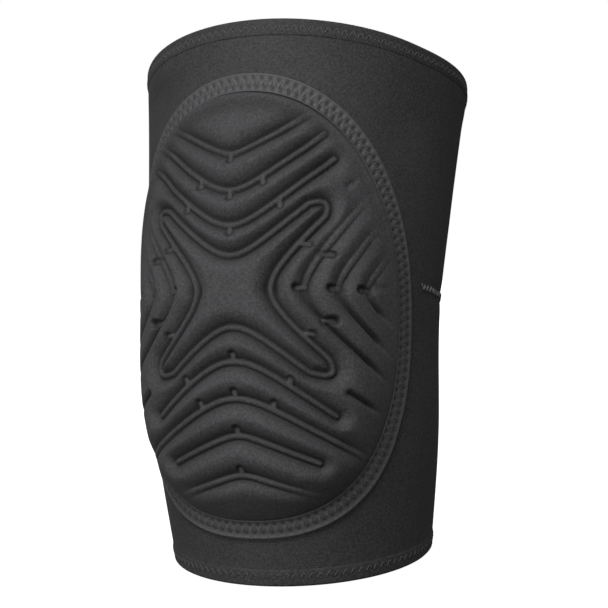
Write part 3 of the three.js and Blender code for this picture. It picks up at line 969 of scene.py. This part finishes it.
# 141415 is the painted shade in the needle hollows
colour = painted_shade_colour(tree, tint.outputs["Color"], "#141415")
bump = add_node(tree, "ShaderNodeBump", {"Strength": 0.3, "Distance": 0.0002},
                {"Height": weave.outputs[0]})
set_node(tree, shader, {"Roughness": 0.65, "IOR": 1.57, "Sheen Weight": 0.05},
         {"Base Color": colour, "Normal": bump.outputs["Normal"]})
print(f"{elastic.name}: ribs {RIB_PITCH} mm apart")

# %% [markdown]
# The binding runs once round the oval and is sewn with one zigzag. Equal steps of the oval's angle would
# crowd the stitches at the sides, so its length is measured first and cut into a whole number of equal
# stitches. Blender's Resample Curve node does the same for a curve.

# %% Length of the binding
OVAL_STEPS = 4001

oval_turns = np.linspace(0, 2 * np.pi, OVAL_STEPS)
oval_run = run_lengths(on_front(*oval(oval_turns, BINDING_WIDTH / 2), GAP))
binding_length = oval_run[-1]
stitch_count = round(binding_length / STITCH_PITCH)


def binding_turn(stitches):
    """The oval's direction after a number of stitches along the middle of the binding."""
    return np.interp(stitches * binding_length / stitch_count, oval_run, oval_turns)


print(f"binding: {binding_length:.0f} mm long, {stitch_count} stitches")

# %% [markdown]
# The tape is flat with a raised cord along its inner edge and a low one along its outer edge. The needle
# pulls it down into a small hollow at each hole. A bump map could fake the hollows, but from the side the
# tape would stay flat, so they are pressed into the mesh.

# %% Binding tape
STEPS_PER_STITCH = 6
CORD_WIDTH, INNER_CORD, OUTER_CORD = 1.2, 0.4, 0.1
CORD_REACH = 0.45 * CORD_WIDTH
NEEDLE_ROWS = (2.3, 5.8)
HOLLOW_DEPTH, HOLLOW_REACH, HOLLOW_LENGTH = 0.65, 0.65, 1.0
EDGE_INSETS = np.array([0, 0.06, 0.2, 0.4])
WEB_FROM, WEB_STEPS = 0.6, 23
EDGE_ROUND = 0.4
TAPE_UNDER = 0.1
FOLD_WALK = 0.5


def tape_top(inset):
    """Lift of the tape's upper face: a low web between two cords."""
    to_edge = np.minimum(inset, BINDING_WIDTH - inset)
    cord = np.where(inset > BINDING_WIDTH / 2, INNER_CORD, OUTER_CORD)
    return GAP + TAPE + cord * np.exp(-((to_edge - CORD_WIDTH / 2) / CORD_REACH)**2)


insets = np.concatenate([EDGE_INSETS, np.linspace(WEB_FROM, BINDING_WIDTH - WEB_FROM, WEB_STEPS),
                         BINDING_WIDTH - EDGE_INSETS[::-1]])
stitches = np.arange(stitch_count * STEPS_PER_STITCH) / STEPS_PER_STITCH
stitch_length = binding_length / stitch_count
needled = np.zeros((stitches.size, insets.size))
for inset, half_step in zip(NEEDLE_ROWS, (0.5, 0)):
    along = ((stitches + half_step) % 1 - 0.5) * stitch_length
    needled += np.exp(-(along[:, None] / HOLLOW_REACH)**2 - ((insets[None] - inset) / HOLLOW_LENGTH)**2)
to_edge = np.clip(np.minimum(insets, BINDING_WIDTH - insets) / EDGE_ROUND, 0, 1)
lift = TAPE_UNDER + (tape_top(insets) - HOLLOW_DEPTH * needled - TAPE_UNDER) * np.sqrt(1 - (1 - to_edge)**2)
tape_u, tape_w = oval(binding_turn(stitches)[:, None], insets[None])
web = on_front(tape_u, tape_w, lift)
under = on_front(tape_u[:, [-2, 1]], tape_w[:, [-2, 1]], TAPE_UNDER)
walk = np.append(insets, [BINDING_WIDTH + FOLD_WALK, 2 * BINDING_WIDTH, 2 * BINDING_WIDTH + FOLD_WALK])
binding = skin_grid("pad_binding_tape", np.concatenate([web, under], axis=1)[:, ::-1],
                    np.append(stitches, stitch_count) * stitch_length, walk[::-1])
# The needle hollows also get a painted shade in the tape's colour
mark_painted_shade(binding, np.concatenate([needled, np.zeros((stitches.size, 2))], axis=1)[:, ::-1])
fit_piece(binding, elastic, "pad_binding")
trims.append(binding)
print(f"tape: {len(binding.data.polygons)} faces, {stitch_length:.2f} mm a stitch")

# %% [markdown]
# The binding's zigzag runs between the cords, pulled so tight that it lies half in the tape. It is swept
# like the stitches of the hems, from needle row to needle row, because the same helper then makes both.

# %% Stitches of the binding
BINDING_THREAD = 0.42
BINDING_ARCH = 0.12

stitches = np.arange(stitch_count * STITCH_POINTS) / STITCH_POINTS
across, arch = zigzag(stitches, *NEEDLE_ROWS)
zigzag_u, zigzag_w = oval(binding_turn(stitches), across)
lift = tape_top(across) - BINDING_THREAD + BINDING_ARCH * arch
binding_zigzag = skin_thread("pad_binding_zigzag", on_front, zigzag_u, zigzag_w, lift, BINDING_THREAD)
fit_piece(binding_zigzag, grey_thread)
trims.append(binding_zigzag)
print(f"{binding_zigzag.name}: thread {2 * BINDING_THREAD:.1f} mm thick")

# %% [markdown]
# Behind the knee a dart takes up the slack of the bend. Only its end shows in the photograph, as a few
# pale stitches beside the binding, and the rest is taken to run round the back. A painted line would do
# from afar, but the same sweep makes it a real thread, open at both ends.

# %% Dart behind the knee
DART_HALF = 1.25
DART_THREAD = 0.3
DART_LIFT, DART_ARCH = 0.1, 0.35
DART_STEPS = 2001

seam_turns = np.linspace(DART_ANGLE, 2 * np.pi - DART_ANGLE, DART_STEPS)
seam_run = run_lengths(on_leg(seam_turns, DART_AT, 0))
stitches = np.arange(0, seam_run[-1], STITCH_PITCH / STITCH_POINTS) / STITCH_PITCH
across, arch = zigzag(stitches, -DART_HALF, DART_HALF)
angles = np.interp(stitches * STITCH_PITCH, seam_run, seam_turns)
angles = np.where(angles > np.pi, angles - 2 * np.pi, angles)
s = DART_AT + across
lift = DART_LIFT + DART_ARCH * arch - sleeve_dent(angles, s)
dart = skin_thread("knee_dart_stitches", on_leg, angles, s, lift, DART_THREAD, close=False)
fit_piece(dart, pale_thread)
trims.append(dart)
print(f"dart: {seam_run[-1]:.0f} mm long")
